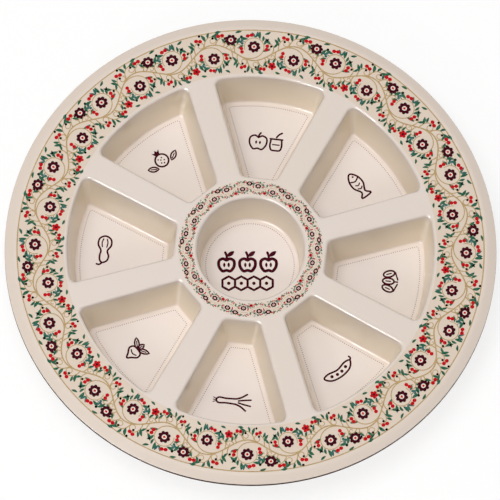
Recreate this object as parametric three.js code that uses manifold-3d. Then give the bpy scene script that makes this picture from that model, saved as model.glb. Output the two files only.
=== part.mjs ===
// A round compartment plate of moulded melamine, for a festive table.
// Millimetres, +Z up. The origin is the middle of the table face under the plate.
// Eight wedge wells stand round a centre bowl. Thin printed foils lie on the flat faces.

import * as THREE from 'three';
import { mergeVertices } from 'three/addons/utils/BufferGeometryUtils.js';
import Module from 'manifold-3d';

// Driving dimensions of the moulding
const PLATE_RADIUS = 165;
const WALL = 3;
const WELL_DEPTH = 35;
const BOWL_DEPTH = 35;
const LIP_WIDTH = 7.8;          // plain band outside the printed border
const LIP_DIP_WIDTH = 6;        // outermost part of that band, which leans down
const LIP_ANGLE = 22;           // how steeply it leans, in degrees
const BORDER_WIDTH = 32;        // printed border on the deck
const WELL_COUNT = 8;
const RIB_WIDTH_INNER = 16.4;   // deck left between two wells, near the centre
const RIB_WIDTH_OUTER = 18.6;   // and near the border
const WELL_CORNER = 4.5;        // corner radius of a well's opening, seen from above
const WELL_LEAN = 5.2;          // how far a well's wall comes in from top to floor
const BOWL_RADIUS = 36.3;
const BOWL_LEAN = 3;
const EDGE_RADIUS = 2;          // rounded edge between deck and wall
const FILLET_RADIUS = 2.6;      // hollow between wall and floor
const BASE_RADIUS = 4.5;        // outside of a well, where it meets the table face

// Driving dimensions of the foils
const HUB_PRINT_WIDTH = 10.4;   // printed ring round the centre bowl
const FOIL_THICKNESS = 0.2;
const FOIL_MARGIN = 0.25;       // bare stretch between a foil and the nearest rounding

// Fineness of the round stretches
const RING_STEPS = 96;
const BOWL_STEPS = 40;
const CORNER_STEPS = 3;
const ARC_STEPS = 6;
const ROUNDING_STEPS = 2;
const NOSE_STEPS = 6;

// Looks of the pieces
const MELAMINE = { color: 0xe9dfd2, roughness: 0.25, metalness: 0 };
const GLAZED_PRINT = { color: 0xd8c9a6, roughness: 0.2, metalness: 0 };
const GLAZED_FLOOR = { color: 0xf0e8dd, roughness: 0.2, metalness: 0 };

// Each well's foil is named for the food that it shows, anticlockwise from the +X axis.
const FOODS = ['date', 'fish', 'apple', 'pomegranate', 'gourd', 'beet', 'leek', 'bean'];

// Heights and places that follow from the sizes above
const DECK_TOP = Math.max(WELL_DEPTH, BOWL_DEPTH) + WALL;
const DECK_UNDER = DECK_TOP - WALL;
const CUTTER_TOP = DECK_TOP + WALL;
const CUP_TOP = DECK_TOP - WALL / 2;

// The stretch that a rounding of this radius takes up beside the corner of wall and flat.
function tangentLength(radius, lean, depth) {
  const turn = Math.PI / 2 - Math.atan2(lean, depth);
  return radius * Math.tan(turn / 2);
}

const WELL_EDGE = tangentLength(EDGE_RADIUS, WELL_LEAN, WELL_DEPTH);
const BOWL_EDGE = tangentLength(EDGE_RADIUS, BOWL_LEAN, BOWL_DEPTH);
const HUB_PRINT_INNER = BOWL_RADIUS + BOWL_EDGE + FOIL_MARGIN;
const HUB_PRINT_OUTER = HUB_PRINT_INNER + HUB_PRINT_WIDTH;
const BORDER_OUTER = PLATE_RADIUS - LIP_WIDTH;
const BORDER_INNER = BORDER_OUTER - BORDER_WIDTH;
const WELL_INNER = HUB_PRINT_OUTER + FOIL_MARGIN + WELL_EDGE;
const WELL_OUTER = BORDER_INNER - FOIL_MARGIN - WELL_EDGE;

// Points of a circular arc. Both ends are included.
function arcPoints(cx, cy, radius, from, to, steps) {
  const points = [];
  for (let i = 0; i <= steps; i += 1) {
    const angle = from + ((to - from) * i) / steps;
    points.push(new THREE.Vector2(cx + radius * Math.cos(angle), cy + radius * Math.sin(angle)));
  }
  return points;
}

// Profile of a drafted wall, from above the deck down to the floor.
// x is how far it lies inside the sharp opening line, and y is the height.
function cavityProfile(lean, depth) {
  const floor = DECK_TOP - depth;
  const draft = Math.atan2(lean, depth);
  const edge = tangentLength(EDGE_RADIUS, lean, depth);
  const fillet = tangentLength(FILLET_RADIUS, lean, depth);
  const top = arcPoints(-edge, DECK_TOP - EDGE_RADIUS, EDGE_RADIUS, Math.PI / 2, draft, ROUNDING_STEPS);
  const bottom = arcPoints(
    lean + fillet, floor + FILLET_RADIUS, FILLET_RADIUS, Math.PI + draft, 1.5 * Math.PI, ROUNDING_STEPS,
  );
  return [new THREE.Vector2(-edge, CUTTER_TOP), ...top, ...bottom];
}

// Profile of the outside of the same wall, from inside the deck down to the table face.
function cupProfile(lean, depth) {
  const draft = Math.atan2(lean, depth);
  const wall = WALL / Math.cos(draft);
  const under = DECK_TOP - depth - WALL;
  const radius = Math.min(BASE_RADIUS, depth / 2);
  const turnIn = tangentLength(radius, lean, depth);
  const atHeight = (z) => ((DECK_TOP - z) * lean) / depth - wall;
  const bottom = arcPoints(
    atHeight(under) + turnIn, under + radius, radius, Math.PI + draft, 1.5 * Math.PI, ROUNDING_STEPS,
  );
  return [new THREE.Vector2(atHeight(CUP_TOP), CUP_TOP), ...bottom];
}

// Outline of a well that points along +Y, moved inwards by inset, anticlockwise from above.
// Its sides follow the ribs, its near edge is straight and its far edge is round the plate's axis.
function wellOutline(inset) {
  const half = Math.PI / WELL_COUNT;
  const inner = WELL_INNER + inset;
  const outer = WELL_OUTER - inset;
  const across = new THREE.Vector2(-Math.cos(half), Math.sin(half));
  const ribPoint = (distance, width) => new THREE.Vector2(Math.sin(half), Math.cos(half))
    .multiplyScalar(distance)
    .addScaledVector(across, width / 2);
  const near = ribPoint(WELL_INNER, RIB_WIDTH_INNER);
  const side = ribPoint(WELL_OUTER, RIB_WIDTH_OUTER).sub(near).normalize();
  const inward = new THREE.Vector2(-side.y, side.x);
  const sideX = (y, offset) => {
    const start = near.clone().addScaledVector(inward, offset);
    return start.x + ((y - start.y) * side.x) / side.y;
  };

  // The corner radius is held under what the short near edge can carry.
  const lean = Math.atan2(side.x, side.y);
  const roomPerRadius = Math.tan(Math.PI / 4 - lean / 2);
  const radius = Math.min(WELL_CORNER, (0.9 * sideX(inner, inset)) / roomPerRadius);

  const nearCentre = new THREE.Vector2(sideX(inner + radius, inset + radius), inner + radius);
  const reach = outer - radius;
  const along = nearCentre.dot(side);
  const step = -along + Math.sqrt(along * along + reach * reach - nearCentre.lengthSq());
  const farCentre = nearCentre.clone().addScaledVector(side, step);
  const sideAngle = Math.atan2(-inward.y, -inward.x);
  const farAngle = farCentre.angle();

  const right = [
    ...arcPoints(nearCentre.x, nearCentre.y, radius, -Math.PI / 2, sideAngle, CORNER_STEPS),
    ...arcPoints(farCentre.x, farCentre.y, radius, sideAngle, farAngle, CORNER_STEPS),
  ];
  const left = right.map((p) => new THREE.Vector2(-p.x, p.y)).reverse();
  const far = arcPoints(0, 0, outer, farAngle, Math.PI - farAngle, ARC_STEPS).slice(1, -1);
  return [...right, ...far, ...left];
}

// A closed body through a stack of like outlines, from the lowest to the highest.
function loft(levels) {
  const count = levels[0].outline.length;
  const positions = [];
  for (const { outline, z } of levels) {
    for (const p of outline) positions.push(p.x, p.y, z);
  }
  const faces = [];
  for (let level = 0; level + 1 < levels.length; level += 1) {
    for (let i = 0; i < count; i += 1) {
      const j = (i + 1) % count;
      const low = level * count;
      const high = low + count;
      faces.push(low + i, low + j, high + j);
      faces.push(low + i, high + j, high + i);
    }
  }
  const lid = (levels.length - 1) * count;
  for (const [a, b, c] of THREE.ShapeUtils.triangulateShape(levels[0].outline, [])) {
    faces.push(c, b, a);
  }
  for (const [a, b, c] of THREE.ShapeUtils.triangulateShape(levels.at(-1).outline, [])) {
    faces.push(lid + a, lid + b, lid + c);
  }
  const geometry = new THREE.BufferGeometry();
  geometry.setAttribute('position', new THREE.Float32BufferAttribute(positions, 3));
  geometry.setIndex(faces);
  return geometry;
}

// A wedge body whose wall follows a profile of insets and heights, given from the top down.
function wedgeBody(profile) {
  return loft(profile.map((p) => ({ outline: wellOutline(p.x), z: p.y })).reverse());
}

// A round body from points of radius and height, with its axis up.
function roundBody(points, steps) {
  const geometry = new THREE.LatheGeometry(points, steps);
  geometry.rotateX(Math.PI / 2);
  return geometry;
}

// The bowl's body from a profile of insets and heights, given from the top down.
function bowlBody(profile) {
  const wall = profile.map((p) => new THREE.Vector2(BOWL_RADIUS - p.x, p.y)).reverse();
  const points = [new THREE.Vector2(0, wall[0].y), ...wall, new THREE.Vector2(0, wall.at(-1).y)];
  return roundBody(points, BOWL_STEPS);
}

// The deck with its lip: flat, then leaning down to a full round nose.
function deckBody() {
  const tilt = THREE.MathUtils.degToRad(LIP_ANGLE);
  const normal = new THREE.Vector2(Math.sin(tilt), Math.cos(tilt));
  const bend = new THREE.Vector2(PLATE_RADIUS - LIP_DIP_WIDTH, DECK_TOP);
  const nose = WALL / 2;
  const run = (LIP_DIP_WIDTH - nose + nose * normal.x) / Math.cos(tilt);
  const centre = bend.clone()
    .add(new THREE.Vector2(Math.cos(tilt), -Math.sin(tilt)).multiplyScalar(run))
    .addScaledVector(normal, -nose);
  const round = arcPoints(
    centre.x, centre.y, nose, -Math.PI / 2 - tilt, Math.PI / 2 - tilt, NOSE_STEPS,
  );
  const underBend = new THREE.Vector2(bend.x - WALL * Math.tan(tilt / 2), DECK_UNDER);
  return roundBody([
    new THREE.Vector2(0, DECK_UNDER),
    underBend,
    ...round,
    bend,
    new THREE.Vector2(0, DECK_TOP),
  ], RING_STEPS);
}

// Joining and cutting
const wasm = await Module();
wasm.setup();

function toSolid(geometry) {
  const bare = geometry.clone();
  bare.deleteAttribute('normal');
  bare.deleteAttribute('uv');
  const merged = mergeVertices(bare, 1e-4);
  return new wasm.Manifold(new wasm.Mesh({
    numProp: 3,
    vertProperties: new Float32Array(merged.attributes.position.array),
    triVerts: new Uint32Array(merged.index.array),
  }));
}

function toGeometry(solid) {
  const mesh = solid.getMesh();
  const geometry = new THREE.BufferGeometry();
  geometry.setAttribute('position', new THREE.BufferAttribute(mesh.vertProperties, 3));
  geometry.setIndex(new THREE.BufferAttribute(mesh.triVerts, 1));
  return geometry;
}

// The angle of a well's middle line, anticlockwise from the +X axis
function wellAngle(index) {
  return (index * 2 * Math.PI) / WELL_COUNT;
}

// A wedge body that points along +Y, turned to where the well lies
function turnedToWell(geometry, index) {
  return geometry.clone().rotateZ(wellAngle(index) - Math.PI / 2);
}

// The whole moulding: deck, cups under it, and the hollows cut out from above
function plateBody() {
  const cup = wedgeBody(cupProfile(WELL_LEAN, WELL_DEPTH));
  const hollow = wedgeBody(cavityProfile(WELL_LEAN, WELL_DEPTH));
  let solid = toSolid(deckBody()).add(toSolid(bowlBody(cupProfile(BOWL_LEAN, BOWL_DEPTH))));
  for (let i = 0; i < WELL_COUNT; i += 1) {
    solid = solid.add(toSolid(turnedToWell(cup, i)));
  }
  solid = solid.subtract(toSolid(bowlBody(cavityProfile(BOWL_LEAN, BOWL_DEPTH))));
  for (let i = 0; i < WELL_COUNT; i += 1) {
    solid = solid.subtract(toSolid(turnedToWell(hollow, i)));
  }
  return toGeometry(solid);
}

// A flat printed ring on the deck
function ringFoil(inner, outer) {
  const shape = new THREE.Shape(arcPoints(0, 0, outer, 0, 2 * Math.PI, RING_STEPS).slice(0, -1));
  shape.holes.push(new THREE.Path(arcPoints(0, 0, inner, 0, 2 * Math.PI, RING_STEPS).slice(0, -1)));
  const geometry = new THREE.ExtrudeGeometry(shape, { depth: FOIL_THICKNESS, bevelEnabled: false });
  return geometry.translate(0, 0, DECK_TOP);
}

// How far inside the sharp opening line a floor foil's edge lies
function floorInset(lean, depth) {
  return lean + tangentLength(FILLET_RADIUS, lean, depth) + FOIL_MARGIN;
}

function centreFoil() {
  const radius = BOWL_RADIUS - floorInset(BOWL_LEAN, BOWL_DEPTH);
  const shape = new THREE.Shape(arcPoints(0, 0, radius, 0, 2 * Math.PI, BOWL_STEPS).slice(0, -1));
  const geometry = new THREE.ExtrudeGeometry(shape, { depth: FOIL_THICKNESS, bevelEnabled: false });
  return geometry.translate(0, 0, DECK_TOP - BOWL_DEPTH);
}

function wellFoil() {
  const shape = new THREE.Shape(wellOutline(floorInset(WELL_LEAN, WELL_DEPTH)));
  const geometry = new THREE.ExtrudeGeometry(shape, { depth: FOIL_THICKNESS, bevelEnabled: false });
  return geometry.translate(0, 0, DECK_TOP - WELL_DEPTH);
}

// The assembly
const plate = new THREE.Group();

function addPiece(name, geometry, looks) {
  const mesh = new THREE.Mesh(geometry, new THREE.MeshStandardMaterial(looks));
  mesh.name = name;
  plate.add(mesh);
}

addPiece('plate_body', plateBody(), MELAMINE);
addPiece('rim_border_foil', ringFoil(BORDER_INNER, BORDER_OUTER), GLAZED_PRINT);
addPiece('hub_ring_foil', ringFoil(HUB_PRINT_INNER, HUB_PRINT_OUTER), GLAZED_PRINT);
addPiece('centre_floor_foil', centreFoil(), GLAZED_FLOOR);
const floorFoil = wellFoil();
for (let i = 0; i < WELL_COUNT; i += 1) {
  addPiece(`floor_foil_${FOODS[i % FOODS.length]}`, turnedToWell(floorFoil, i), GLAZED_FLOOR);
}

export default plate;
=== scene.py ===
"""A round compartment plate of moulded melamine with a printed border. Metres, +Z up."""

import math

import bmesh
import bpy
from mathutils import Matrix, Vector
from mathutils.geometry import tessellate_polygon


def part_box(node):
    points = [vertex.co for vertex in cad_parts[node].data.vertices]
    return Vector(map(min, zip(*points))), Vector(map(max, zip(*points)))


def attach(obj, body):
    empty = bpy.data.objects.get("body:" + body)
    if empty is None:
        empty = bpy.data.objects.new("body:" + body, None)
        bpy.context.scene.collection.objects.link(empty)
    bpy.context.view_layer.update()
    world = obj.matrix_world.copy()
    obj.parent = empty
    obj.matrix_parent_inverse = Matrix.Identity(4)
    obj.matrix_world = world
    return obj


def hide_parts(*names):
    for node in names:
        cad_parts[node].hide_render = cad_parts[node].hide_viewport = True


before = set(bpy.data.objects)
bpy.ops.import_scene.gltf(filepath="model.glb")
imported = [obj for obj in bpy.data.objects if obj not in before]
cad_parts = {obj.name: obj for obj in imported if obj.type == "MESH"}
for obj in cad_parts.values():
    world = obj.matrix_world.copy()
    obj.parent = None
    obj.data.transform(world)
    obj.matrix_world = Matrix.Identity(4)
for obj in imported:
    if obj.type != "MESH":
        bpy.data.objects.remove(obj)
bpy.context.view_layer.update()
MM = 0.001

# Sizes that the frame gives
DECK_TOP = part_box("rim_border_foil")[0].z
WELL_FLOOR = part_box("floor_foil_date")[0].z
BOWL_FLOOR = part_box("centre_floor_foil")[0].z
BORDER_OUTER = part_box("rim_border_foil")[1].x
HUB_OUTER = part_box("hub_ring_foil")[1].x
CENTRE_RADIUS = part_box("centre_floor_foil")[1].x
BOX_CLEARANCE = 0.01 * MM   # keeps the drawn lip inside the frame's box
LIP_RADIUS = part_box("plate_body")[1].x - BOX_CLEARANCE

# Sizes of the moulding that the frame's boxes don't give
PLATE_RADIUS = 165 * MM
WALL = 3 * MM
LIP_DIP_WIDTH = 6 * MM
LIP_ANGLE = math.radians(22)
WELL_COUNT = 8
RIB_WIDTH_INNER = 16.4 * MM
RIB_WIDTH_OUTER = 18.6 * MM
WELL_CORNER = 4.5 * MM       # at the deck; it tightens on the way down to the floor
CORNER_TIGHTENING = 0.36
CORNER_LEAST = 1.2 * MM
WELL_LEAN = 5.2 * MM
BOWL_LEAN = 3 * MM
EDGE_RADIUS = 2 * MM
FILLET_RADIUS = 2.6 * MM
FILLET_DRAWN = 1.5 * MM      # the fillet looks tighter than that in the photograph
BASE_RADIUS = 4.5 * MM
BORDER_WIDTH = 32 * MM
HUB_PRINT_WIDTH = 10.4 * MM
FOIL_MARGIN = 0.25 * MM

# Sizes of the fine surface
LIP_BEND = 7 * MM
LIP_EDGE = 0.3 * MM         # the photograph shows the lip's side as a face with a crisp upper edge
LIP_UNDER_EDGE = 0.35 * MM
UNDER_BEND = 3 * MM
UNDER_FILLET = 1.5 * MM
SUPPORT = 0.4 * MM          # narrow strip that keeps the shading of a flat face flat
FACE_HEIGHT = 0.05 * MM     # a foil's face over the moulding
FACE_BEVEL = 0.9 * MM
ROUND_STEPS = 8
CORNER_STEPS = 9
SIDE_STEPS = 8
FAR_STEPS = 14
INNER_STEPS = 3
LIP_STEPS = 288
BOWL_STEPS = 96
SHARP_ANGLE = math.radians(35)

# Heights of the inks over a foil's face
INK = 0.025 * MM            # from one layer to the next
INK_STEP = 0.0022 * MM      # keeps the tops of shapes that cross in one layer apart

# The photograph's view, worked out from the plate's outline and wells
VIEW_TILT = math.radians(19.1)
VIEW_ROLL = math.radians(2.48)
VIEW_TURN = math.radians(4.18)
VIEW_DISTANCE = 30 * PLATE_RADIUS
VIEW_AIM = Vector((-0.0025 * PLATE_RADIUS, -0.006 * PLATE_RADIUS, DECK_TOP))
RADIUS_ACROSS_FRAME = 246.1 / 500     # share of the frame's width that one plate radius takes
SENSOR = 36.0


def make_camera():
    turn = Matrix.Rotation(VIEW_TURN, 3, "Z")
    back = turn @ Vector((0, -math.sin(VIEW_TILT), math.cos(VIEW_TILT)))
    level = turn @ Vector((1, 0, 0))
    rise = back.cross(level)
    right = level * math.cos(VIEW_ROLL) + rise * math.sin(VIEW_ROLL)
    up = rise * math.cos(VIEW_ROLL) - level * math.sin(VIEW_ROLL)
    data = bpy.data.cameras.new("view")
    data.sensor_width = SENSOR
    data.sensor_fit = "HORIZONTAL"
    data.lens = SENSOR * RADIUS_ACROSS_FRAME * VIEW_DISTANCE / PLATE_RADIUS
    camera = bpy.data.objects.new("view", data)
    turned = Matrix((right, up, back)).transposed().to_4x4()
    camera.matrix_world = Matrix.Translation(turn @ VIEW_AIM + back * VIEW_DISTANCE) @ turned
    bpy.context.scene.collection.objects.link(camera)
    bpy.context.scene.camera = camera


make_camera()


# Flat geometry

def arc_points(centre, radius, start, end, steps):
    """Points of an arc round centre, both ends included."""
    angles = [start + (end - start) * i / steps for i in range(steps + 1)]
    return [Vector((centre[0] + radius * math.cos(a), centre[1] + radius * math.sin(a))) for a in angles]


def line_points(start, end, steps):
    """Points of a straight stretch, both ends included."""
    return [Vector(start).lerp(Vector(end), i / steps) for i in range(steps + 1)]


def turned(points, angle):
    turn = Matrix.Rotation(angle, 2)
    return [turn @ Vector(p) for p in points]


def circle(radius, steps, centre=(0, 0)):
    return arc_points(centre, radius, 0, 2 * math.pi, steps)[:-1]


def rounded(corners, steps):
    """A path through corners of (x, y, radius), with each inner corner drawn as an arc."""
    points = [Vector(corners[0][:2])]
    for before, corner, after in zip(corners, corners[1:], corners[2:]):
        here = Vector(corner[:2])
        coming = (here - Vector(before[:2])).normalized()
        going = (Vector(after[:2]) - here).normalized()
        bend = math.atan2(coming.cross(going), coming.dot(going))
        start = here - coming * corner[2] * math.tan(abs(bend) / 2)
        side = Vector((-coming.y, coming.x)) * math.copysign(1, bend)
        centre = start + side * corner[2]
        for i in range(steps + 1):
            points.append(centre + Matrix.Rotation(bend * i / steps, 2) @ (start - centre))
    points.append(Vector(corners[-1][:2]))
    return points


def tangent_length(radius, lean, depth):
    """The stretch that a rounding takes up beside the corner of wall and flat."""
    return radius * math.tan(math.pi / 4 - math.atan2(lean, depth) / 2)


WELL_DEPTH = DECK_TOP - WELL_FLOOR
BOWL_DEPTH = DECK_TOP - BOWL_FLOOR
WELL_EDGE = tangent_length(EDGE_RADIUS, WELL_LEAN, WELL_DEPTH)
BOWL_EDGE = tangent_length(EDGE_RADIUS, BOWL_LEAN, BOWL_DEPTH)
HUB_INNER = HUB_OUTER - HUB_PRINT_WIDTH
BORDER_INNER = BORDER_OUTER - BORDER_WIDTH
BOWL_RADIUS = HUB_INNER - FOIL_MARGIN - BOWL_EDGE
WELL_INNER = HUB_OUTER + FOIL_MARGIN + WELL_EDGE
WELL_OUTER = BORDER_INNER - FOIL_MARGIN - WELL_EDGE
WELL_FACE_INSET = WELL_LEAN + tangent_length(FILLET_RADIUS, WELL_LEAN, WELL_DEPTH) + FOIL_MARGIN


def well_angle(index):
    return index * 2 * math.pi / WELL_COUNT


def well_outline(inset):
    """Outline of a well that points along +Y, moved inwards by inset, anticlockwise."""
    half = math.pi / WELL_COUNT
    across = Vector((-math.cos(half), math.sin(half)))
    rib = Vector((math.sin(half), math.cos(half)))
    near = rib * WELL_INNER + across * RIB_WIDTH_INNER / 2
    side = (rib * WELL_OUTER + across * RIB_WIDTH_OUTER / 2 - near).normalized()
    inward = Vector((-side.y, side.x))
    inner, outer = WELL_INNER + inset, WELL_OUTER - inset
    radius = max(WELL_CORNER - CORNER_TIGHTENING * max(inset, 0), CORNER_LEAST)
    start = near + inward * (inset + radius)
    near_centre = Vector((start.x + (inner + radius - start.y) * side.x / side.y, inner + radius))
    along = near_centre.dot(side)
    reach = -along + math.sqrt(along ** 2 + (outer - radius) ** 2 - near_centre.length_squared)
    far_centre = near_centre + side * reach
    side_angle = math.atan2(-inward.y, -inward.x)
    far_angle = math.atan2(far_centre.y, far_centre.x)
    right = line_points((0, inner), (near_centre.x, inner), INNER_STEPS)[:-1]
    right += arc_points(near_centre, radius, -math.pi / 2, side_angle, CORNER_STEPS)
    right += line_points(near_centre - inward * radius, far_centre - inward * radius, SIDE_STEPS)[1:-1]
    right += arc_points(far_centre, radius, side_angle, far_angle, CORNER_STEPS)
    right += arc_points((0, 0), outer, far_angle, math.pi / 2, FAR_STEPS)[1:]
    return right + [Vector((-p.x, p.y)) for p in reversed(right[1:-1])]


# Meshes

class Skin:
    """Collects the points and faces of one mesh."""

    def __init__(self):
        self.points = []
        self.faces = []

    def ring(self, outline, z):
        first = len(self.points)
        self.points += [(p[0], p[1], z) for p in outline]
        return list(range(first, len(self.points)))

    def bridge(self, low, high):
        """Walls between two rings of as many points."""
        for i, a in enumerate(low):
            j = (i + 1) % len(low)
            self.faces.append((a, low[j], high[j], high[i]))

    def fill(self, outer, *holes):
        """A flat face inside outer, round the holes."""
        rings = [outer, *holes]
        flat = [i for ring in rings for i in ring]
        loops = [[Vector(self.points[i]) for i in ring] for ring in rings]
        self.faces += [tuple(flat[i] for i in face) for face in tessellate_polygon(loops)]

    def prism(self, outline, low, high):
        """A thin flat piece of ink."""
        bottom = self.ring(outline, low)
        top = self.ring(outline, high)
        self.bridge(bottom, top)
        self.faces.append(tuple(top))
        self.faces.append(tuple(reversed(bottom)))

    def strip(self, spine, halves, low, high, closed):
        """A thin flat band along a spine, with half its width at each point."""
        count = len(spine)
        left, right = [], []
        for i, (p, half) in enumerate(zip(spine, halves)):
            before = spine[i - 1] if closed or i > 0 else p
            after = spine[(i + 1) % count] if closed or i + 1 < count else p
            along = (after - before).normalized()
            side = Vector((-along.y, along.x)) * half
            left.append(p + side)
            right.append(p - side)
        quads = [self.ring(edge, z) for z in (low, high) for edge in (left, right)]
        low_left, low_right, high_left, high_right = quads
        for i in range(count if closed else count - 1):
            j = (i + 1) % count
            self.faces.append((high_right[i], high_right[j], high_left[j], high_left[i]))
            self.faces.append((low_left[i], low_left[j], low_right[j], low_right[i]))
            self.faces.append((high_left[i], high_left[j], low_left[j], low_left[i]))
            self.faces.append((low_right[i], low_right[j], high_right[j], high_right[i]))
        if not closed:
            self.faces.append((high_left[0], low_left[0], low_right[0], high_right[0]))
            self.faces.append((high_right[-1], low_right[-1], low_left[-1], high_left[-1]))


def build(name, skin, material, replaces=None):
    """Makes a closed, smoothly shaded piece from a skin."""
    mesh = bpy.data.meshes.new(name)
    mesh.from_pydata(skin.points, [], skin.faces)
    work = bmesh.new()
    work.from_mesh(mesh)
    bmesh.ops.recalc_face_normals(work, faces=work.faces)
    work.to_mesh(mesh)
    work.free()
    mesh.shade_smooth()
    mesh.set_sharp_from_angle(angle=SHARP_ANGLE)
    mesh.materials.append(material)
    piece = bpy.data.objects.new(name, mesh)
    bpy.context.scene.collection.objects.link(piece)
    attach(piece, "root")
    if replaces:
        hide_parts(replaces)


# Materials

def srgb(red, green, blue):
    """A colour as a picture shows it, from 0 to 255, in linear light."""
    def linear(c):
        c /= 255
        return c / 12.92 if c <= 0.04045 else ((c + 0.055) / 1.055) ** 2.4
    return (linear(red), linear(green), linear(blue), 1)


class Nodes:
    """A material's node tree, with a glossy glaze over whatever colour it is given."""

    def __init__(self, name):
        self.material = bpy.data.materials.new(name)
        self.material.use_nodes = True
        self.tree = self.material.node_tree
        self.shader = self.tree.nodes["Principled BSDF"]
        self.place = self.tree.nodes.new("ShaderNodeTexCoord").outputs["Object"]

    def link(self, source, target):
        self.tree.links.new(source, target)

    def noise(self, scale, detail, roughness=0.5):
        node = self.tree.nodes.new("ShaderNodeTexNoise")
        node.inputs["Scale"].default_value = scale
        node.inputs["Detail"].default_value = detail
        node.inputs["Roughness"].default_value = roughness
        self.link(self.place, node.inputs["Vector"])
        return node.outputs["Fac"]

    def spread(self, value, low, high, to_low, to_high):
        """The value's range, stretched to another one."""
        node = self.tree.nodes.new("ShaderNodeMapRange")
        for key, number in zip(("From Min", "From Max", "To Min", "To Max"), (low, high, to_low, to_high)):
            node.inputs[key].default_value = number
        self.link(value, node.inputs["Value"])
        return node.outputs["Result"]

    def mix(self, factor, first, second):
        node = self.tree.nodes.new("ShaderNodeMix")
        node.data_type = "RGBA"
        self.link(factor, node.inputs["Factor"])
        for key, colour in (("A", first), ("B", second)):
            socket = [s for s in node.inputs if s.name == key and s.type == "RGBA"][0]
            if isinstance(colour, tuple):
                socket.default_value = colour
            else:
                self.link(colour, socket)
        return [s for s in node.outputs if s.type == "RGBA"][0]

    def outside(self, radius, softness):
        """0 within a radius from the plate's axis, 1 beyond it."""
        level = self.tree.nodes.new("ShaderNodeVectorMath")
        level.operation = "MULTIPLY"
        level.inputs[1].default_value = (1, 1, 0)
        self.link(self.place, level.inputs[0])
        reach = self.tree.nodes.new("ShaderNodeVectorMath")
        reach.operation = "LENGTH"
        self.link(level.outputs["Vector"], reach.inputs[0])
        return self.spread(reach.outputs["Value"], radius - softness, radius + softness, 0, 1)

    def between(self, low, high, softness):
        """1 between two heights, 0 above and below."""
        split = self.tree.nodes.new("ShaderNodeSeparateXYZ")
        self.link(self.place, split.inputs["Vector"])
        height = split.outputs["Z"]
        both = self.tree.nodes.new("ShaderNodeMath")
        both.operation = "MULTIPLY"
        self.link(self.spread(height, low, low + softness, 0, 1), both.inputs[0])
        self.link(self.spread(height, high - softness, high, 1, 0), both.inputs[1])
        return both.outputs[0]

    def glaze(self, gloss):
        """Clear hard glaze: nearly even gloss, with a faint unevenness that bends reflections."""
        self.shader.inputs["IOR"].default_value = GLAZE_IOR
        cloud = self.noise(GLAZE_CLOUD, 3.0)
        rough = self.spread(cloud, *GLAZE_RANGE, gloss - GLAZE_SMOOTHER, gloss + GLAZE_ROUGHER)
        self.link(rough, self.shader.inputs["Roughness"])
        bump = self.tree.nodes.new("ShaderNodeBump")
        bump.inputs["Strength"].default_value = GLAZE_BUMP
        bump.inputs["Distance"].default_value = GLAZE_BUMP_HEIGHT
        self.link(self.noise(GLAZE_PEEL, 1.0), bump.inputs["Height"])
        self.link(bump.outputs["Normal"], self.shader.inputs["Normal"])


# The glaze. Clouds, peel and grain are scales of noise, finer as they grow.
GLAZE_IOR = 1.5
GLAZE_CLOUD = 30
GLAZE_RANGE = (0.3, 0.7)    # the part of the noise that shows
GLAZE_SMOOTHER = 0.03
GLAZE_ROUGHER = 0.04
GLAZE_PEEL = 420
GLAZE_BUMP = 0.05
GLAZE_BUMP_HEIGHT = 0.1 * MM
BODY_GLOSS = 0.13
INK_GLOSS = 0.24

# Melamine and inks. Each colour is as a picture shows it, from 0 to 255.
TONE_RANGE = (0.35, 0.65)   # the part of a noise that runs from one tone to the other
INK_GRAIN = 900
INK_SHINE = 0.05
BODY_CLOUD = 14
BODY_SHINE = 0.5
SPECK_GRAIN = 1900
SPECK_RANGE = (0.69, 0.76)  # only the noise's peaks are specks
SPECK_SHARE = 0.35
SPECK_DARKER = 22
WALL_BLEND = 4 * MM
LIP_BLEND = 1 * MM
SIDE_BLEND = 0.02 * MM
SIDE_DEPTH = 0.08 * MM
# Painted shade: the lip's side face is coloured dark to stand for the shade on it
SIDE_PAINTED_SHADE = (80, 62, 50)         # the lip's side face, a dark line along the near edge in the photograph
# Painted shade: the plain lip band beyond the border print is coloured darker and warmer than the deck
LIP_PAINTED_SHADE = (230, 216, 203)
# Painted shade: the walls of the wells and the bowl are tinted yellower, standing for the warm light bounced
# inside them
WALL_PAINTED_SHADE = (231, 218, 198)
CREAM = (232, 221, 213)
CREAM_WARM = (231, 219, 208)
FLOOR_PALE = (230, 221, 217)
FLOOR_DEEP = (228, 219, 212)
BORDER_PALE = (229, 213, 196)
BORDER_DEEP = (226, 209, 191)
HUB_PALE = (232, 218, 204)
HUB_DEEP = (229, 214, 199)


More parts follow.
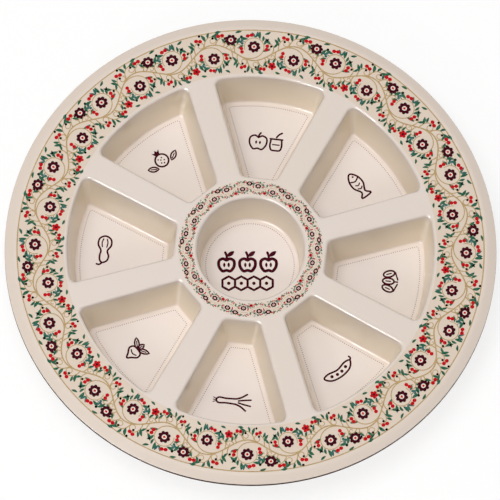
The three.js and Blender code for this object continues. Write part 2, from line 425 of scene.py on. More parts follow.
def melamine(name, pale, deep, moulding=False):
    """Clouded, finely specked cream melamine. The moulding also gets painted shade: yellower walls, a darker
    lip band and a dark, unglossed lip side.
    """
    nodes = Nodes(name)
    cloud = nodes.spread(nodes.noise(BODY_CLOUD, 3.0), *TONE_RANGE, 0, 1)
    body = nodes.mix(cloud, srgb(*pale), srgb(*deep))
    if moulding:
        # Painted shade: a yellower tint on the walls, between the floors and the deck's rounded edge
        inside = nodes.between(WELL_FLOOR, DECK_TOP - EDGE_RADIUS, WALL_BLEND)
        body = nodes.mix(inside, body, srgb(*WALL_PAINTED_SHADE))
        # Painted shade on the plain lip band, darker and warmer than the deck
        body = nodes.mix(nodes.outside(BORDER_OUTER, LIP_BLEND), body, srgb(*LIP_PAINTED_SHADE))
    speck = nodes.spread(nodes.noise(SPECK_GRAIN, 1.0), *SPECK_RANGE, 0, SPECK_SHARE)
    body = nodes.mix(speck, body, srgb(*[c - SPECK_DARKER for c in deep]))
    if moulding:
        # Painted shade: the lip's side face turns dark and loses its gloss, standing for the shade on it
        side = nodes.outside(LIP_RADIUS - SIDE_DEPTH, SIDE_BLEND)
        body = nodes.mix(side, body, srgb(*SIDE_PAINTED_SHADE))
        nodes.link(nodes.spread(side, 0, 1, BODY_SHINE, 0), nodes.shader.inputs["Specular IOR Level"])
    nodes.link(body, nodes.shader.inputs["Base Color"])
    nodes.glaze(BODY_GLOSS)
    return nodes.material


def ink_material(name, dark, light):
    """Printed ink under the glaze: two tones, broken up as a screen print is."""
    nodes = Nodes(name)
    tone = nodes.spread(nodes.noise(INK_GRAIN, 2.0, 0.6), *TONE_RANGE, 0, 1)
    nodes.link(nodes.mix(tone, srgb(*dark), srgb(*light)), nodes.shader.inputs["Base Color"])
    nodes.shader.inputs["Specular IOR Level"].default_value = INK_SHINE
    nodes.glaze(INK_GLOSS)
    return nodes.material


BODY_FINISH = melamine("melamine", CREAM, CREAM_WARM, moulding=True)
FLOOR_FINISH = melamine("floor_face", FLOOR_PALE, FLOOR_DEEP)
BORDER_FINISH = melamine("border_face", BORDER_PALE, BORDER_DEEP)
HUB_FINISH = melamine("hub_face", HUB_PALE, HUB_DEEP)
INKS = {
    "maroon": ink_material("ink_maroon", (48, 4, 18), (78, 12, 30)),
    "red": ink_material("ink_red", (178, 12, 26), (208, 30, 38)),
    "green": ink_material("ink_green", (30, 80, 60), (64, 116, 90)),
    "teal": ink_material("ink_teal", (38, 88, 84), (74, 122, 112)),
    "gold": ink_material("ink_gold", (174, 146, 98), (196, 170, 124)),
    "black": ink_material("ink_black", (20, 14, 16), (34, 24, 26)),
    "cream": ink_material("ink_cream", (236, 220, 206), (244, 228, 216)),
    "mauve": ink_material("ink_mauve", (136, 112, 104), (158, 134, 124)),
}


# The moulding

def cavity_profile(lean, depth):
    """Insets and heights down a well's inside, from the deck to its floor."""
    edge = tangent_length(EDGE_RADIUS, lean, depth)
    fillet = tangent_length(FILLET_DRAWN, lean, depth)
    floor = DECK_TOP - depth
    return rounded([
        (-edge - SUPPORT, DECK_TOP), (0, DECK_TOP, EDGE_RADIUS),
        (lean, floor, FILLET_DRAWN), (lean + fillet + SUPPORT, floor),
    ], ROUND_STEPS)


def cup_profile(lean, depth):
    """Insets and heights down the outside of the same wall, to the table face."""
    wall = WALL / math.cos(math.atan2(lean, depth))
    under = DECK_TOP - WALL
    base = DECK_TOP - depth - WALL
    top = WALL * lean / depth - wall
    foot = (depth + WALL) * lean / depth - wall
    return rounded([
        (top - tangent_length(UNDER_FILLET, lean, depth) - SUPPORT, under), (top, under, UNDER_FILLET),
        (foot, base, BASE_RADIUS), (foot + tangent_length(BASE_RADIUS, lean, depth) + SUPPORT, base),
    ], ROUND_STEPS)


def lip_profile():
    """Radii and heights over the lip's bend, down its side face and back under it."""
    fall = math.tan(LIP_ANGLE)
    bend = Vector((PLATE_RADIUS - LIP_DIP_WIDTH, DECK_TOP))
    under = Vector((bend.x - WALL * math.tan(LIP_ANGLE / 2), DECK_TOP - WALL))
    top = bend.y - (LIP_RADIUS - bend.x) * fall
    low = under.y - (LIP_RADIUS - under.x) * fall
    reach = LIP_BEND * math.tan(LIP_ANGLE / 2) + SUPPORT
    return rounded([
        (bend.x - reach, bend.y), (bend.x, bend.y, LIP_BEND), (LIP_RADIUS, top, LIP_EDGE),
        (LIP_RADIUS, low, LIP_UNDER_EDGE), (under.x, under.y, UNDER_BEND), (under.x - reach, under.y),
    ], ROUND_STEPS)


def bowl_circle(inset):
    return circle(BOWL_RADIUS - inset, BOWL_STEPS)


def stack(skin, profile, outline, angle=0):
    """Rings down a profile of insets and heights. Gives the first and the last ring."""
    rings = [skin.ring(turned(outline(p.x), angle), p.y) for p in profile]
    for above, below in zip(rings, rings[1:]):
        skin.bridge(above, below)
    return rings[0], rings[-1]


def make_body():
    skin = Skin()
    lip_top, lip_under = stack(skin, lip_profile(), lambda radius: circle(radius, LIP_STEPS))
    for profile_of, rim in ((cavity_profile, lip_top), (cup_profile, lip_under)):
        mouths = []
        for index in range(WELL_COUNT):
            angle = well_angle(index) - math.pi / 2
            mouth, floor = stack(skin, profile_of(WELL_LEAN, WELL_DEPTH), well_outline, angle)
            mouths.append(mouth)
            skin.fill(floor)
        mouth, floor = stack(skin, profile_of(BOWL_LEAN, BOWL_DEPTH), bowl_circle)
        skin.fill(floor)
        skin.fill(rim, *mouths, mouth)
    build("moulded_plate", skin, BODY_FINISH, "plate_body")


make_body()


# The foils' faces

def make_ring_face(name, inner, outer, finish, node):
    skin = Skin()
    low, high = DECK_TOP, DECK_TOP + FACE_HEIGHT
    profile = [
        (inner, low), (inner + FACE_BEVEL, high), (inner + FACE_BEVEL + SUPPORT, high),
        (outer - FACE_BEVEL - SUPPORT, high), (outer - FACE_BEVEL, high), (outer, low),
    ]
    rings = [skin.ring(circle(radius, LIP_STEPS), z) for radius, z in profile]
    for first, second in zip(rings, rings[1:] + rings[:1]):
        skin.bridge(first, second)
    build(name, skin, finish, node)


def make_floor_face(name, outline, inset, base, angle, node):
    skin = Skin()
    high = base + FACE_HEIGHT
    profile = [(inset, base), (inset + FACE_BEVEL, high), (inset + FACE_BEVEL + SUPPORT, high)]
    bottom, top = stack(skin, [Vector(p) for p in profile], outline, angle)
    skin.fill(bottom)
    skin.fill(top)
    build(name, skin, FLOOR_FINISH, node)


FOODS = ("date", "fish", "apple", "pomegranate", "gourd", "beet", "leek", "bean")

make_ring_face("border_face", BORDER_INNER, BORDER_OUTER, BORDER_FINISH, "rim_border_foil")
make_ring_face("hub_face", HUB_INNER, HUB_OUTER, HUB_FINISH, "hub_ring_foil")
make_floor_face("centre_face", bowl_circle, BOWL_RADIUS - CENTRE_RADIUS, BOWL_FLOOR, 0, "centre_floor_foil")
for number, food in enumerate(FOODS):
    make_floor_face(
        f"floor_face_{food}", well_outline, WELL_FACE_INSET, WELL_FLOOR,
        well_angle(number) - math.pi / 2, f"floor_foil_{food}",
    )


# Printed shapes, in millimetres, with +Y as their upper side

LEAF_STEPS = 7
LEAF_POWER = 0.8            # below 1 a leaf's sides are fuller than a sine
PETAL_STEPS = 6
CURL_STEPS = 30
TENDRIL_STEPS = 26
END_ANGLES = (8, 30, 60)    # degrees round a line's rounded end


def smooth(points, steps=5, closed=False):
    """A smooth curve through a few points."""
    points = [Vector(p) for p in points]
    count = len(points)
    curve = []
    for i in range(count if closed else count - 1):
        if closed:
            a, b, c, d = (points[(i + k) % count] for k in (-1, 0, 1, 2))
        else:
            a, b, c, d = (points[min(max(i + k, 0), count - 1)] for k in (-1, 0, 1, 2))
        for step in range(steps):
            t = step / steps
            curve.append(0.5 * (
                2 * b + (c - a) * t + (2 * a - 5 * b + 4 * c - d) * t ** 2
                + (3 * b - a - 3 * c + d) * t ** 3))
    return curve if closed else curve + [points[-1]]


def leaf(length, width, bend=0.0):
    """Outline of a pointed leaf, from its stalk at the origin up to its tip."""
    sides = []
    for sign in (1, -1):
        side = []
        for i in range(LEAF_STEPS + 1):
            t = i / LEAF_STEPS
            swell = math.sin(math.pi * t)
            side.append(Vector((bend * swell + sign * width / 2 * swell ** LEAF_POWER, length * t)))
        sides.append(side)
    return sides[0] + sides[1][-2:0:-1]


def disc(x, y, radius, steps=10):
    return circle(radius, steps, (x, y))


def curl(centre, radius, end_radius, start, end, pull):
    """A spiral round a centre, from start to end in degrees. A higher pull tightens it sooner."""
    points = []
    for i in range(CURL_STEPS + 1):
        t = i / CURL_STEPS
        reach = end_radius + (radius - end_radius) * (1 - t) ** pull
        angle = math.radians(start + (end - start) * t)
        points.append(Vector(centre) + reach * Vector((math.cos(angle), math.sin(angle))))
    return points


def petals(radius, count, depth):
    """Outline of a flower seen from above. Depth is how far its petals are parted."""
    outline = []
    for i in range(PETAL_STEPS * count):
        angle = 2 * math.pi * i / (PETAL_STEPS * count)
        reach = radius * (1 - depth + depth * abs(math.cos(count * angle / 2)))
        outline.append(Vector((reach * math.cos(angle), reach * math.sin(angle))))
    return outline


class Print:
    """The ink on one foil, gathered into one piece for each colour."""

    def __init__(self, name, base, slot):
        self.name = name
        self.base = base + FACE_HEIGHT
        self.slot = slot
        self.skins = {}
        self.tops = {}
        self.place = lambda p: Vector(p) * MM
        self.spot()

    def at(self, radius, angle, turn):
        """Draws from here on round a point of the plate, with +Y away from the centre."""
        spin = Matrix.Rotation(angle - math.pi / 2 + math.radians(turn), 2)
        middle = Vector((math.cos(angle), math.sin(angle))) * radius
        self.place = lambda p: middle + spin @ (Vector(p) * MM)

    def on_ring(self, radius, angle, scale, flip):
        """Draws from here on along a circle: +X clockwise, +Y outwards or, with a flip of -1, inwards."""
        def place(p):
            reach = radius + flip * scale * p[1] * MM
            around = angle - scale * p[0] * MM / radius
            return Vector((reach * math.cos(around), reach * math.sin(around)))
        self.place = place

    def spot(self, x=0.0, y=0.0, turn=0.0, size=1.0):
        """Moves and turns what is drawn next, within the place."""
        spin = Matrix.Rotation(math.radians(turn), 2)
        self.put = lambda p: self.place(Vector((x, y)) + spin @ (Vector(p) * size))
        return self

    def top(self, layer, outline):
        """Height of a shape's top: a step that no shape of its layer near it has taken."""
        middle = sum(outline, Vector((0, 0))) / len(outline)
        reach = max((p - middle).length for p in outline)
        placed = self.tops.setdefault(layer, [])
        taken = {step for spot, far, step in placed if (spot - middle).length < reach + far}
        step = min(set(range(len(taken) + 1)) - taken)
        placed.append((middle, reach, step))
        return self.base + layer * INK + step * INK_STEP

    def skin(self, colour):
        return self.skins.setdefault(colour, Skin())

    def blot(self, colour, outline, layer=1):
        outline = [self.put(p) for p in outline]
        self.skin(colour).prism(outline, self.base, self.top(layer, outline))

    def band(self, colour, path, width, layer=1, end_width=None, closed=False):
        """A line of ink. It tapers where end_width is given, and has round ends otherwise."""
        path = [Vector(p) for p in path]
        half = width / 2
        if closed:
            halves = [half] * len(path)
        elif end_width is not None:
            last = len(path) - 1
            halves = [half + (end_width / 2 - half) * i / last for i in range(last + 1)]
        else:
            path, halves = round_ends(path, half)
        spine = [self.put(p) for p in path]
        scale = (self.put((0, 1)) - self.put((0, 0))).length
        widths = [h * scale for h in halves]
        self.skin(colour).strip(spine, widths, self.base, self.top(layer, spine), closed)

    def finish(self):
        for colour, skin in self.skins.items():
            build(f"{self.name}_{colour}", skin, INKS[colour])


def round_ends(path, half):
    """The path and half widths of a line with rounded ends."""
    angles = [math.radians(a) for a in END_ANGLES]
    head = (path[0] - path[1]).normalized()
    tail = (path[-1] - path[-2]).normalized()
    start = [path[0] + head * half * math.cos(a) for a in angles]
    finish = [path[-1] + tail * half * math.cos(a) for a in reversed(angles)]
    caps = [half * math.sin(a) for a in angles]
    return start + path + finish, caps + [half] * len(path) + caps[::-1]


# Layers of ink above the stems, which are in layer 1
LEAVES = 2
FLOWERS = 3
HEARTS = 4
EYES = 5


# Motifs. Each stands on the origin and grows along +Y, but a rosette has its middle there.

def draw_motif(ink, kind):
    """One motif at full size, as the border has it."""
    if kind == "rosette":
        ink.blot("maroon", petals(4.3, 8, 0.22), FLOWERS)
        ink.blot("cream", disc(0, 0, 1.65, 16), HEARTS)
        ink.blot("red", petals(1.0, 4, 0.4), EYES)
    elif kind == "bloom":
        ink.blot("red", [p + Vector((0, 2.4)) for p in petals(2.7, 5, 0.34)], FLOWERS)
        ink.blot("black", disc(0, 2.4, 0.7, 8), HEARTS)
    elif kind == "cherries":
        for side in (-1, 1):
            ink.blot("red", disc(1.15 * side, 1.9 + 0.5 * side, 1.3, 12), FLOWERS)
    elif kind == "leaf":
        ink.blot("green", leaf(5.6, 2.0, 0.4), LEAVES)
    elif kind == "small_leaf":
        ink.blot("green", leaf(4.2, 1.6, -0.3), LEAVES)
    elif kind == "pair":
        for side in (-1, 1):
            spread = Matrix.Rotation(side * 0.42, 2)
            ink.blot("teal", [spread @ p for p in leaf(4.6, 1.7, -side * 0.25)], LEAVES)
    elif kind == "clover":
        for side in (-1, 0, 1):
            ink.blot("teal", disc(1.25 * side, 3.0 - 1.1 * abs(side), 0.95), LEAVES)
        ink.band("teal", [(0, 0), (0, 2.4)], 0.45, LEAVES)
    else:
        ink.blot("black", disc(0, 0.75, 0.85), FLOWERS)


# A garland: a gold stem in waves, with a rosette rolled up in each of its bends

STEM_WAVE = 6.6
STEM_WIDTH = 0.9
STEM_STEPS = 16
TENDRIL_WIDTH = 0.7
TIP_WIDTH = 0.5
GARLAND_UNIT = 27.7         # half a wave along the ring's middle
ROLL_MIDDLE = Vector((GARLAND_UNIT / 2, -3.4))
ROLL_RADIUS = 6.4
ROLL_START_RADIUS = 12      # where the roll leaves the stem
ROLL_START = 150            # degrees
ROLL_END = -200
ROLL_PULL = 6
ROLL_GAP = 0.4              # from the roll's line to what grows on it
ROLL_FLOWER_TURN = 10

# The flower beside the stem where each half wave starts, by flip: kind, place, turn in degrees and size
BEND_FLOWERS = {-1: ("rosette", -1.0, -8.8, 32, 0.94), 1: ("bloom", -1.6, -7.4, 205, 1.1)}

# What grows outwards from the roll: kind, the side of the roll in degrees, and how much it leans forward.
ROLL_GROWTH = [
    ("leaf", 30, 50), ("cherries", 8, 24), ("leaf", -14, 44), ("small_leaf", -36, 50),
    ("leaf", -56, 36), ("pair", -80, 20), ("cherries", -104, 24), ("leaf", -124, 40),
    ("clover", -148, 30), ("small_leaf", -172, 34), ("cherries", 168, 20),
]

# Tendrils: where they start, their heading in degrees, their length and how far they turn, then what
# grows on each as kind, share of its length, and turn from its line.
TENDRILS = [
    ((2.4, 1.8), 96, 21, -400,
     [("leaf", 0.16, 40), ("small_leaf", 0.3, 55), ("cherries", 0.42, 20), ("berry", 1, 0)]),
    ((9.0, 5.7), 78, 22, -430,
     [("leaf", 0.2, 50), ("small_leaf", 0.33, 40), ("leaf", 0.44, 30), ("berry", 1, 0)]),
    ((16.4, 6.4), 62, 20, -410, [("small_leaf", 0.16, 55), ("cherries", 0.27, 44), ("berry", 1, 0)]),
    ((22.8, 3.5), 40, 11, -350, [("small_leaf", 0.2, 60)]),
    ((26.2, 1.2), -72, 16, -370, [("small_leaf", 0.3, 44), ("leaf", 0.5, 40), ("berry", 1, 0)]),
    ((1.0, 0.4), -98, 14, 370, [("small_leaf", 0.3, -50), ("leaf", 0.46, -40)]),
    ((-6.2, -4.6), -64, 6, 50, [("small_leaf", 0.4, -60)]),
]
SPARE_LEAVES = [(6.2, -14.6, 76), (20.4, -12.6, -120), (17.0, 14.9, -84)]
SPARE_BERRIES = [(7.4, 13.8), (5.8, -11.6), (22.2, -9.2)]


def tendril(start, heading, length, turn):
    """Points of a shoot that leaves straight and rolls up ever tighter."""
    points = [Vector(start)]
    for i in range(TENDRIL_STEPS):
        angle = math.radians(heading + turn * ((i + 0.5) / TENDRIL_STEPS) ** 2)
        points.append(points[-1] + length / TENDRIL_STEPS * Vector((math.cos(angle), math.sin(angle))))
    return points


def along(path, share):
    """Point and direction, in degrees from +Y, at a share of a path's points."""
    place = share * (len(path) - 1)
    i = min(int(place), len(path) - 2)
    step = path[i + 1] - path[i]
    return path[i].lerp(path[i + 1], place - i), math.degrees(math.atan2(step.y, step.x)) - 90


def draw_garland(ink, ring, repeats, scale, line=1.0, boldness=1.0):
    """The garland round a ring. Line thins its stems and boldness swells its flowers, where it is small."""
    unit = math.pi / repeats
    fit = unit * ring / (GARLAND_UNIT * scale * MM)
    shares = [i / STEM_STEPS for i in range(STEM_STEPS + 1)]
    stem = [(GARLAND_UNIT * t, STEM_WAVE * math.sin(math.pi * t)) for t in shares]
    roll = curl(ROLL_MIDDLE, ROLL_START_RADIUS, ROLL_RADIUS, ROLL_START, ROLL_END, ROLL_PULL)
    for number in range(2 * repeats):
        flip = 1 - 2 * (number % 2)
        ink.on_ring(ring, -number * unit, scale, flip)
        place = ink.place
        ink.place = lambda p, place=place: place((p[0] * fit, p[1]))
        ink.spot()
        ink.band("gold", stem, STEM_WIDTH * line, end_width=STEM_WIDTH * line)
        ink.band("gold", roll, TENDRIL_WIDTH * line, end_width=TIP_WIDTH * line)
        for kind, side, lean in ROLL_GROWTH:
            angle = math.radians(side)
            x, y = ROLL_MIDDLE + (ROLL_RADIUS + ROLL_GAP) * Vector((math.cos(angle), math.sin(angle)))
            draw_motif(ink.spot(x, y, side - 90 - lean), kind)
        for start, heading, length, turn, growth in TENDRILS:
            path = tendril(start, heading, length, turn)
            ink.spot().band("gold", path, TENDRIL_WIDTH * line, end_width=TIP_WIDTH * line)
            for kind, share, lean in growth:
                spot, facing = along(path, share)
                draw_motif(ink.spot(spot.x, spot.y, facing + lean), kind)
        for x, y, facing in SPARE_LEAVES:
            draw_motif(ink.spot(x, y, facing), "small_leaf")
        for x, y in SPARE_BERRIES:
            draw_motif(ink.spot(x, y), "berry")
        draw_motif(ink.spot(ROLL_MIDDLE.x, ROLL_MIDDLE.y, ROLL_FLOWER_TURN, boldness), "rosette")
        kind, x, y, facing, size = BEND_FLOWERS[flip]
        draw_motif(ink.spot(x, y, facing, size * boldness), kind)


BORDER_MIDDLE = (BORDER_INNER + BORDER_OUTER) / 2
BORDER_REPEATS = 16
GOLD_LINE_INSET = 0.6
GOLD_LINE_WIDTH = 0.7
HUB_MIDDLE = (HUB_INNER + HUB_OUTER) / 2
HUB_REPEATS = 13
HUB_SCALE = 0.31
HUB_LINE = 0.5
HUB_BOLDNESS = 1.32


def draw_rings():
    ink = Print("border_print", DECK_TOP, "border_print")
    gold_line = circle(BORDER_OUTER / MM - GOLD_LINE_INSET, LIP_STEPS)
    ink.band("gold", gold_line, GOLD_LINE_WIDTH, closed=True)
    draw_garland(ink, BORDER_MIDDLE, BORDER_REPEATS, 1.0)
    ink.finish()
    ink = Print("hub_print", DECK_TOP, "border_print")
    draw_garland(ink, HUB_MIDDLE, HUB_REPEATS, HUB_SCALE, HUB_LINE, HUB_BOLDNESS)
    ink.finish()


draw_rings()


# The dotted line round each floor

DOT_PITCH = 1.5
DOT_RADIUS = 0.34
DOT_STEPS = 6
DOT_INSET = 0.75 * MM       # from the foil's edge to the line of dots


def even_points(outline, pitch):
    """Points at even steps round a closed outline."""
    closed = outline + outline[:1]
    lengths = [(b - a).length for a, b in zip(closed, closed[1:])]
    count = round(sum(lengths) / pitch)
    step = sum(lengths) / count
    points = []
    walked = 0.0
    for start, end, length in zip(closed, closed[1:], lengths):
        while len(points) < count and len(points) * step <= walked + length:
            points.append(start.lerp(end, (len(points) * step - walked) / length))
        walked += length
    return points


def draw_dots():
    ink = Print("floor_dots", WELL_FLOOR, "floor_print")
    wedge = well_outline(WELL_FACE_INSET + DOT_INSET)
    lines = [turned(wedge, well_angle(index)) for index in range(WELL_COUNT)]
    lines.append(circle(CENTRE_RADIUS - DOT_INSET, BOWL_STEPS))
    for line in lines:
        for spot in even_points(line, DOT_PITCH * MM):
            ink.blot("mauve", disc(spot.x / MM, spot.y / MM, DOT_RADIUS, DOT_STEPS))
    ink.finish()


draw_dots()


# The pictures on the floors

PICTURE_LINE = 1.25
OVAL_STEPS = 20


def draw_fish(ink, line):
    body = smooth([(-9.5, 0), (-5.5, 3.4), (0.5, 4.0), (6, 1.4), (9.5, 3.8), (9.5, -3.8), (6, -1.4),
                   (0.5, -4.0), (-5.5, -3.4)], 4, closed=True)
    ink.band("maroon", body, line, closed=True)
    ink.band("maroon", smooth([(-4.2, 2.8), (-3, 0), (-4.2, -2.8)]), line * 0.8)
    ink.blot("maroon", disc(-6.6, 0.7, 0.7))
    for x in (-0.4, 2.4):
        ink.band("maroon", smooth([(x, 1.6), (x + 0.9, 0), (x, -1.6)]), line * 0.7)


def draw_date(ink, line):
    angles = [2 * math.pi * i / OVAL_STEPS for i in range(OVAL_STEPS)]
    for x, tilt in ((-5.2, 20), (0, 0), (5.2, -20)):
        turn = Matrix.Rotation(math.radians(tilt), 2)
        middle = Vector((x, -1))
        oval = [turn @ Vector((2.2 * math.cos(a), 3.9 * math.sin(a))) + middle for a in angles]
        ink.band("maroon", oval, line, closed=True)
        ink.band("maroon", [turn @ Vector((0, y)) + middle for y in (-1.6, 1.4)], line * 0.7)
        ink.band("maroon", smooth([middle + turn @ Vector((0, 4.4)), (x * 0.3, 5.2)], 3), line * 0.8)


APPLE = smooth([(0, 3.4), (2.6, 4.6), (5.6, 2.8), (5.6, -1.6), (3, -5.2), (0, -4.6), (-3, -5.2),
                (-5.6, -1.6), (-5.6, 2.8), (-2.6, 4.6)], 4, closed=True)


def draw_apple(ink, line):
    shift = Vector((-4.6, -0.6))
    ink.band("maroon", [p + shift for p in APPLE], line, closed=True)
    ink.band("maroon", smooth([shift + Vector(p) for p in ((0, 3.2), (0.2, 5), (1.2, 6.6))], 3), line)
    for x in (-1.3, 1.3):
        ink.blot("maroon", [shift + Vector(p) + Vector((x, -1.6)) for p in leaf(2.6, 1.4)])
    pot = smooth([(4, 2.2), (3.6, -2), (4.6, -5.2), (7.6, -5.6), (10.6, -5.2), (11.6, -2), (11.2, 2.2)], 4)
    ink.band("maroon", pot, line)
    ink.band("maroon", [(3.4, 2.6), (11.8, 2.6)], line)
    ink.band("maroon", smooth([(7.6, 4), (9, 6), (11, 7.4)], 3), line)
    ink.band("maroon", [(5.4, -1.4), (9.8, -1.4)], line * 0.7)


def draw_pomegranate(ink, line):
    ink.band("maroon", disc(0, -1, 4.6, 32), line, closed=True)
    ink.blot("maroon", [(-1.5, 3.4), (-2.9, 6.9), (-1.1, 5.8), (0, 7.5), (1.1, 5.8), (2.9, 6.9), (1.5, 3.4)])
    for x, y in ((-1.3, -2.4), (0.4, -3.4), (1.6, -1.6), (-0.4, -0.4), (1.0, 0.8), (-1.8, 0.8)):
        ink.blot("maroon", disc(x, y, 0.55, 8))
    for side in (-1, 1):
        spin = Matrix.Rotation(math.radians(-58 * side), 2)
        foot = Vector((side * 5.4, -4.8))
        ink.band("maroon", [spin @ p + foot for p in leaf(7.4, 3.4)], line * 0.9, closed=True)
        ink.band("maroon", [spin @ Vector((0, y)) + foot for y in (1.6, 5.2)], line * 0.6)


def draw_gourd(ink, line):
    outline = smooth([(-9.6, 0.4), (-8, -2.6), (-4.6, -3.4), (-1, -2.2), (3, -4.4), (7.4, -3.8), (9.4, 0),
                      (7.4, 3.8), (3, 4.4), (-1, 2.2), (-4.6, 2.6), (-8, 2.2)], 4, closed=True)
    ink.band("maroon", outline, line, closed=True)
    ink.band("maroon", smooth([(-9.8, 0.6), (-11.2, 2.2), (-11, 4)], 3), line)
    for height in (-1.5, 1.5):
        ink.band("maroon", smooth([(1.6, height), (4.6, height * 1.3), (7.2, height * 0.8)], 4), line * 0.7)


def draw_beet(ink, line):
    root = smooth([(0, 2.2), (3.6, 1.4), (4.4, -1.6), (2, -4.6), (0, -7.2), (-2, -4.6), (-4.4, -1.6),
                   (-3.6, 1.4)], 4, closed=True)
    ink.band("maroon", root, line, closed=True)
    ink.band("maroon", smooth([(-2.6, -1.4), (0, -2.4), (2.6, -1.4)], 4), line * 0.7)
    for tilt, length in ((-58, 8.4), (0, 5.6), (58, 8.4)):
        turn = Matrix.Rotation(math.radians(-tilt), 2)
        foot = Vector((0, 2))
        ink.band("maroon", [turn @ p + foot for p in leaf(length, 3.0)], line * 0.9, closed=True)
        ink.band("maroon", [turn @ Vector((0, y)) + foot for y in (1.2, length * 0.7)], line * 0.6)


def draw_leek(ink, line):
    stalk = smooth([(1.5, 1.9), (-5, 1.6), (-10, 1.9), (-11.6, 0), (-10, -1.9), (-5, -1.6), (1.5, -1.9)], 4)
    ink.band("maroon", stalk, line)
    for bend in (-1, 1):
        ink.band("maroon", smooth([(1.5, bend * 1.9), (5, bend * 3.2), (8.6, bend * 5.8)], 4), line)
        ink.band("maroon", smooth([(3.4, bend * 0.7), (7, bend * 1.5), (11.6, bend * 2.2)], 4), line * 0.9)
    for root in (-1.6, 0, 1.6):
        ink.band("maroon", [(-11.8, root * 0.5), (-13.6, root)], line * 0.55)


def draw_bean(ink, line):
    pod = smooth([(-11, 1.8), (-7, 3.0), (0, 1.6), (7, 3.0), (11, 1.8), (7.4, -2.4), (0, -3.8),
                  (-7.4, -2.4)], 4, closed=True)
    ink.band("maroon", pod, line, closed=True)
    for x, y in ((-5.8, 0.1), (-1.9, -0.9), (1.9, -0.9), (5.8, 0.1)):
        ink.blot("maroon", disc(x, y, 1.15, 12))
    ink.band("maroon", smooth([(11, 1.8), (12.2, 3), (12, 4.4)], 3), line)


# Each picture's distance from the plate's centre, and its turn: at 180 its upper side is inwards
PICTURES = {
    "date": (draw_date, 95, 0), "fish": (draw_fish, 93.5, 0), "apple": (draw_apple, 89.5, 0),
    "pomegranate": (draw_pomegranate, 97, 0), "gourd": (draw_gourd, 99, 0),
    "beet": (draw_beet, 98.5, 180), "leek": (draw_leek, 97, 180), "bean": (draw_bean, 96, 180),
}


def draw_pictures():
    for index, food in enumerate(FOODS):
        draw, radius, turn = PICTURES[food]
        ink = Print(f"picture_{food}", WELL_FLOOR, "floor_print")
        ink.at(radius * MM, well_angle(index), turn)
        draw(ink, PICTURE_LINE)
        ink.finish()


draw_pictures()


# The centre: a row of apples over a row of honeycomb

CENTRE_LINE = 2.1
CENTRE_SHIFT = -1.0
CENTRE_DROP = -5.4
CENTRE_TURN = 6.8           # degrees, so that the rows stand level in the photograph's view
CENTRE_THIN = 0.8 * CENTRE_LINE
APPLE_PITCH = 14.2
APPLE_SIZE = 0.9
APPLE_ROW = 6
APPLE_LEAF_TILT = math.radians(-52)
CELL_COUNT = 4
CELL_SIDE = 4.9
CELL_ROW = -7.4
CELL_DOT = 1.2


def draw_centre():
    ink = Print("centre_print", BOWL_FLOOR, "floor_print")
    ink.spot(CENTRE_SHIFT, CENTRE_DROP, CENTRE_TURN)
    tilt = Matrix.Rotation(APPLE_LEAF_TILT, 2)
    for column in (-1, 0, 1):
        x = column * APPLE_PITCH
        apple = [APPLE_SIZE * p + Vector((x, APPLE_ROW)) for p in APPLE]
        ink.band("maroon", apple, CENTRE_LINE, closed=True)
        ink.band("maroon", smooth([(x, 9.4), (x + 0.2, 12), (x - 0.8, 14.6)], 3), CENTRE_THIN)
        ink.blot("maroon", [tilt @ p + Vector((x + 0.3, 11.6)) for p in leaf(6.4, 3.0)])
        for side in (-1, 1):
            ink.blot("maroon", [p + Vector((x + 1.5 * side, 3.9)) for p in leaf(3.6, 1.7)])
    for column in range(CELL_COUNT):
        x = (column - (CELL_COUNT - 1) / 2) * CELL_SIDE * math.sqrt(3)
        middle = Vector((x, CELL_ROW))
        cell = [middle + p for p in turned(circle(CELL_SIDE, 6), math.pi / 6)]
        corners = [a.lerp(b, t) for a, b in zip(cell, cell[1:] + cell[:1]) for t in (0.0, 0.5)]
        ink.band("maroon", corners, CENTRE_THIN, closed=True)
        ink.blot("maroon", circle(CELL_DOT, 12, middle))
    ink.finish()


draw_centre()


# Floor, light and background

WHITE = (1, 1, 1, 1)
AMBIENT_COLOUR = (1.0, 0.97, 0.93, 1)
AMBIENT_STRENGTH = 0.36
AMBIENT_PEAK = 1.5          # overhead strength that lights a level face as an even sky of 1 does
KEY_COLOUR = (1.0, 0.99, 1.0)
PAPER_SEEN = (0.22, 0.22, 0.22, 1)
PAPER_LIFT = 0.8            # glow that brings the paper to white where it is seen
PAPER_LIT = (0.8, 0.8, 0.8, 1)
PAPER_ROUGHNESS = 0.9
PAPER_SIZE = 8.0
PAPER_GAP = 0.05 * MM       # below the table face


def seen_rays(tree, path):
    """1 for rays from the camera, off a gloss or through something clear, and 0 for all other light."""
    seen = path.outputs["Is Camera Ray"]
    for kind in ("Is Glossy Ray", "Is Transmission Ray"):
        either = tree.nodes.new("ShaderNodeMath")
        either.operation = "MAXIMUM"
        tree.links.new(seen, either.inputs[0])
        tree.links.new(path.outputs[kind], either.inputs[1])
        seen = either.outputs[0]
    return seen


def stage_material():
    """White paper. Seen by the camera it is lifted to white, and it keeps the plate's shadow."""
    nodes = Nodes("paper")
    nodes.shader.inputs["Roughness"].default_value = PAPER_ROUGHNESS
    nodes.shader.inputs["Specular IOR Level"].default_value = 0
    path = nodes.tree.nodes.new("ShaderNodeLightPath")
    shade = nodes.mix(path.outputs["Is Camera Ray"], PAPER_LIT, PAPER_SEEN)
    nodes.link(shade, nodes.shader.inputs["Base Color"])
    lift = nodes.tree.nodes.new("ShaderNodeMath")
    lift.operation = "MULTIPLY"
    lift.inputs[1].default_value = PAPER_LIFT
    nodes.link(seen_rays(nodes.tree, path), lift.inputs[0])
    nodes.shader.inputs["Emission Color"].default_value = WHITE
    nodes.link(lift.outputs[0], nodes.shader.inputs["Emission Strength"])
    return nodes.material


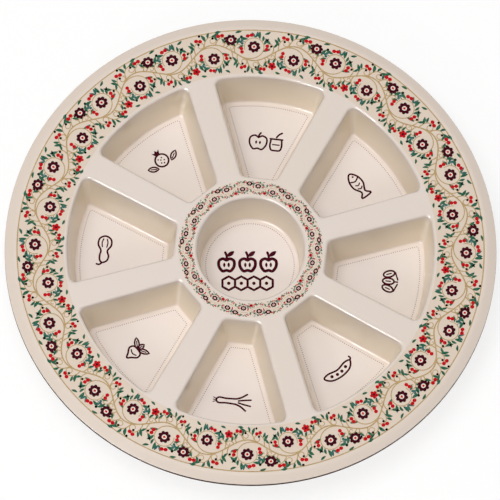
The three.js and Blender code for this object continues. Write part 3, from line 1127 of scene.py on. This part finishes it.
def make_stage():
    skin = Skin()
    half = PAPER_SIZE / 2
    skin.faces.append(tuple(skin.ring([(-half, -half), (half, -half), (half, half), (-half, half)], 0)))
    mesh = bpy.data.meshes.new("paper_floor")
    mesh.from_pydata(skin.points, [], skin.faces)
    mesh.materials.append(stage_material())
    floor = bpy.data.objects.new("paper_floor", mesh)
    floor.location.z = -PAPER_GAP
    bpy.context.scene.collection.objects.link(floor)


def make_world():
    """Soft light that is strongest overhead. Where it is seen or mirrored, it is plain white."""
    world = bpy.data.worlds.new("studio")
    world.use_nodes = True
    tree = world.node_tree
    lit = tree.nodes["Background"]
    lit.inputs["Color"].default_value = AMBIENT_COLOUR
    height = tree.nodes.new("ShaderNodeSeparateXYZ")
    tree.links.new(tree.nodes.new("ShaderNodeTexCoord").outputs["Generated"], height.inputs["Vector"])
    overhead = tree.nodes.new("ShaderNodeMapRange")
    overhead.inputs["To Max"].default_value = AMBIENT_PEAK * AMBIENT_STRENGTH
    tree.links.new(height.outputs["Z"], overhead.inputs["Value"])
    tree.links.new(overhead.outputs["Result"], lit.inputs["Strength"])
    white = tree.nodes.new("ShaderNodeBackground")
    white.inputs["Color"].default_value = WHITE
    mix = tree.nodes.new("ShaderNodeMixShader")
    path = tree.nodes.new("ShaderNodeLightPath")
    tree.links.new(seen_rays(tree, path), mix.inputs["Fac"])
    tree.links.new(lit.outputs[0], mix.inputs[1])
    tree.links.new(white.outputs[0], mix.inputs[2])
    tree.links.new(mix.outputs[0], tree.nodes["World Output"].inputs["Surface"])
    bpy.context.scene.world = world


def make_light(name, azimuth, elevation, distance, width, height, watts, lights, glints):
    """A soft box that faces the plate. Azimuth 0 stands at the front, 90 at the left. Angles in degrees."""
    a, e = math.radians(azimuth), math.radians(elevation)
    back = Vector((-math.sin(a) * math.cos(e), -math.cos(a) * math.cos(e), math.sin(e)))
    data = bpy.data.lights.new(name, "AREA")
    data.shape = "RECTANGLE"
    data.size = width
    data.size_y = height
    data.energy = watts
    data.color = KEY_COLOUR
    lamp = bpy.data.objects.new(name, data)
    lamp.location = back * distance
    lamp.rotation_euler = back.to_track_quat("Z", "Y").to_euler()
    lamp.visible_diffuse = lights
    lamp.visible_glossy = glints
    bpy.context.scene.collection.objects.link(lamp)


make_stage()
make_world()
make_light(
    "key", azimuth=70, elevation=80, distance=2.5, width=1.2, height=1.2, watts=32.8,
    lights=True, glints=False,
)
make_light(
    "edge", azimuth=24, elevation=42, distance=2.4, width=0.4, height=0.4, watts=5,
    lights=True, glints=False,
)
make_light(
    "glint", azimuth=34, elevation=42, distance=2.4, width=1.3, height=0.6, watts=90,
    lights=False, glints=True,
)

bpy.context.scene.view_settings.view_transform = "Standard"
